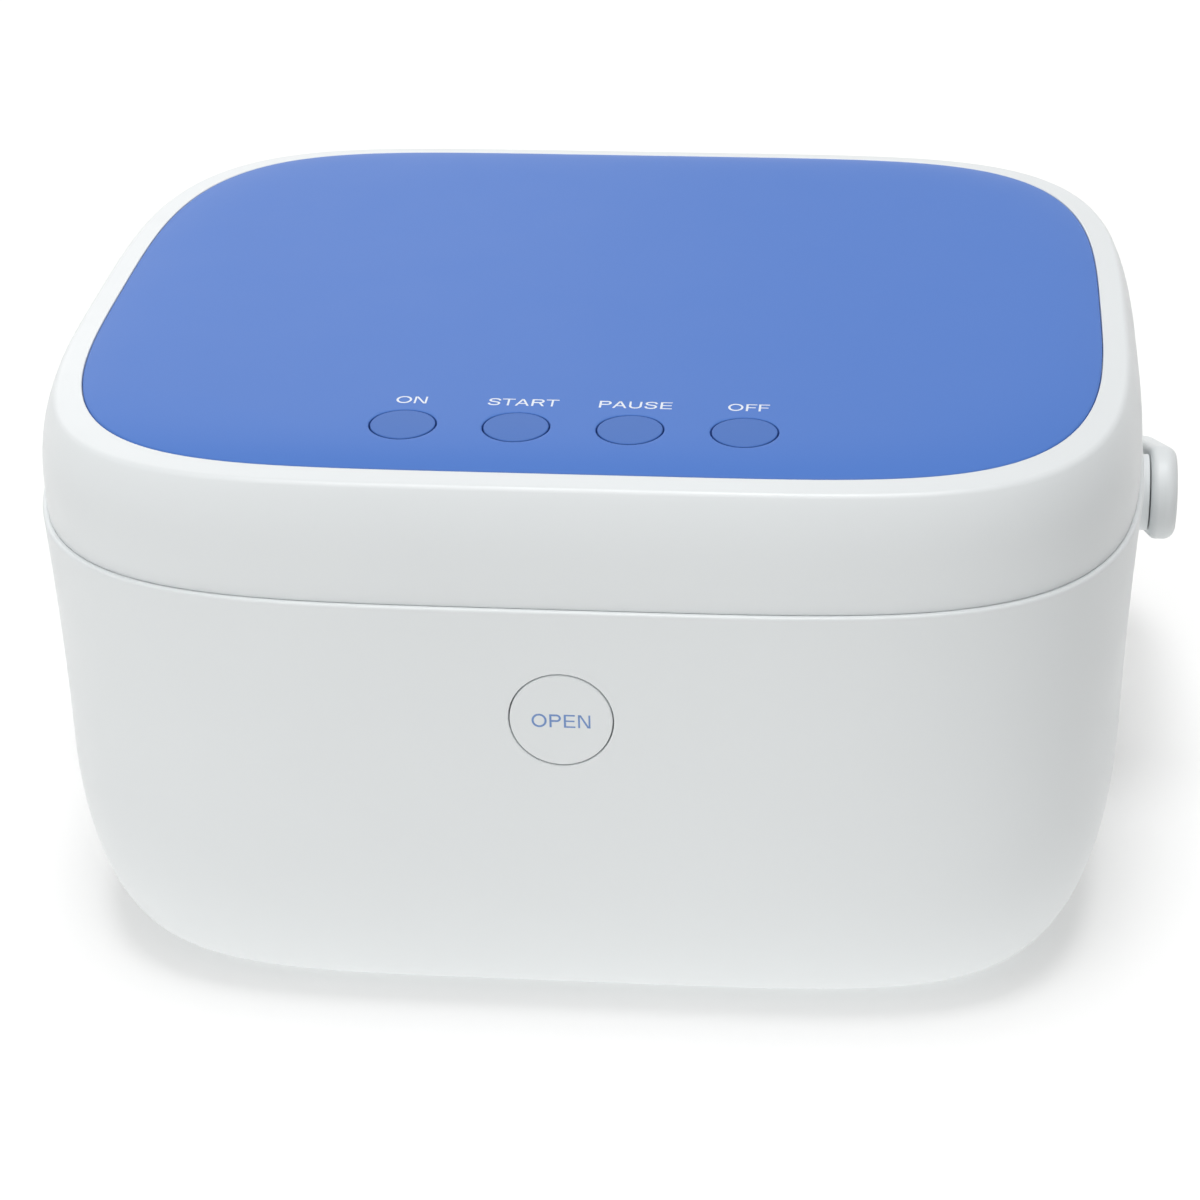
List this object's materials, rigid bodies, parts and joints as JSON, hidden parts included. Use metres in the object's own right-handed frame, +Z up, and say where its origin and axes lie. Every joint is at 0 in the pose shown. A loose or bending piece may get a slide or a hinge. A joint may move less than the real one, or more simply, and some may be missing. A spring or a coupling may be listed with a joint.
{
  "type": "pacifier sterilizer case",
  "caption": "Rounded box with a hinged crowned lid, push-button latch, steel chamber with wire rack, lamps and a folding carry handle.",
  "frame": {"origin": "middle of the whole footprint, folded handle included, on the surface that the feet stand on", "axes": "+X to the viewer's right, -Y to the front with the push button, +Z up"},
  "size_m": [0.325, 0.2883, 0.1604],
  "materials": {
    "white_shell": "satin moulded white plastic",
    "blue_panel": "smooth blue plastic with a soft sheen",
    "chamber_steel": "bright pressed steel",
    "rack_wire": "polished steel wire",
    "liner_plastic": "pale grey moulded plastic",
    "seal_rubber": "grey silicone rubber",
    "foot_rubber": "dark rubber",
    "circuit_board": "green lacquered board",
    "lamp_window": "clear quartz",
    "dark_plastic": "black moulded plastic",
    "spring_steel": "plain steel"
  },
  "bodies": {
    "case": {"base_shell": "white_shell", "base_plate": "white_shell", "foot_1": "foot_rubber", "foot_2": "foot_rubber", "foot_3": "foot_rubber", "foot_4": "foot_rubber", "base_screw_1": "spring_steel", "base_screw_2": "spring_steel", "base_screw_3": "spring_steel", "base_screw_4": "spring_steel", "chamber_tub": "chamber_steel", "base_lamp_window": "lamp_window", "base_lamp_board": "circuit_board", "driver_board": "circuit_board", "power_inlet": "dark_plastic", "button_spring": "spring_steel", "latch_bracket": "liner_plastic", "latch_pin": "spring_steel", "reed_switch": "dark_plastic", "hinge_ear_left": "white_shell", "hinge_ear_right": "white_shell", "hinge_pin": "spring_steel", "handle_pin_left": "spring_steel", "handle_pin_right": "spring_steel"},
    "lid": {"lid_shell": "white_shell", "top_panel": "blue_panel", "control_board": "circuit_board", "lid_liner": "liner_plastic", "lid_seal": "seal_rubber", "lid_lamp_window": "lamp_window", "lid_lamp_board": "circuit_board", "lid_catch": "liner_plastic", "lid_magnet": "spring_steel", "hinge_knuckle": "white_shell", "lid_spring": "spring_steel"},
    "rack": {"wire_rack": "rack_wire"},
    "handle": {"carry_handle": "white_shell", "handle_cap_left": "white_shell", "handle_cap_right": "white_shell"},
    "front_button": {"open_button": "white_shell"},
    "latch": {"latch_lever": "liner_plastic"},
    "on_key": {"key_on": "blue_panel"},
    "start_key": {"key_start": "blue_panel"},
    "pause_key": {"key_pause": "blue_panel"},
    "off_key": {"key_off": "blue_panel"}
  },
  "joints": [
    {"name": "lid_turn", "type": "hinge", "parent": "case", "child": "lid", "pos_m": [0, 0.12601, 0.125], "axis": [-1, 0, 0], "range_deg": [0, 90]},
    {"name": "handle_turn", "type": "hinge", "parent": "case", "child": "handle", "pos_m": [0, 0.00661, 0.093], "axis": [-1, 0, 0], "range_deg": [-112, 0]},
    {"name": "rack_lift", "type": "slide", "parent": "case", "child": "rack", "axis": [0, 0, -1], "range_m": [-0.07, 0]},
    {"name": "open_press", "type": "slide", "parent": "case", "child": "front_button", "axis": [0, 1, 0], "range_m": [0, 0.0025], "stiffness_N_per_m": 600, "springref_m": -0.001, "deforming": ["button_spring"]},
    {"name": "latch_turn", "type": "hinge", "parent": "case", "child": "latch", "pos_m": [0, -0.1242, 0.1051], "axis": [1, 0, 0], "range_deg": [0, 12]},
    {"name": "key_on_press", "type": "slide", "parent": "lid", "child": "on_key", "axis": [0, 0, -1], "range_m": [0, 0.0008], "stiffness_N_per_m": 500, "springref_m": -0.0005},
    {"name": "key_start_press", "type": "slide", "parent": "lid", "child": "start_key", "axis": [0, 0, -1], "range_m": [0, 0.0008], "stiffness_N_per_m": 500, "springref_m": -0.0005},
    {"name": "key_pause_press", "type": "slide", "parent": "lid", "child": "pause_key", "axis": [0, 0, -1], "range_m": [0, 0.0008], "stiffness_N_per_m": 500, "springref_m": -0.0005},
    {"name": "key_off_press", "type": "slide", "parent": "lid", "child": "off_key", "axis": [0, 0, -1], "range_m": [0, 0.0008], "stiffness_N_per_m": 500, "springref_m": -0.0005}
  ],
  "couplings": [
    {"joint": "latch_turn", "follows": "open_press", "rad_per_m": 83.333}
  ]
}
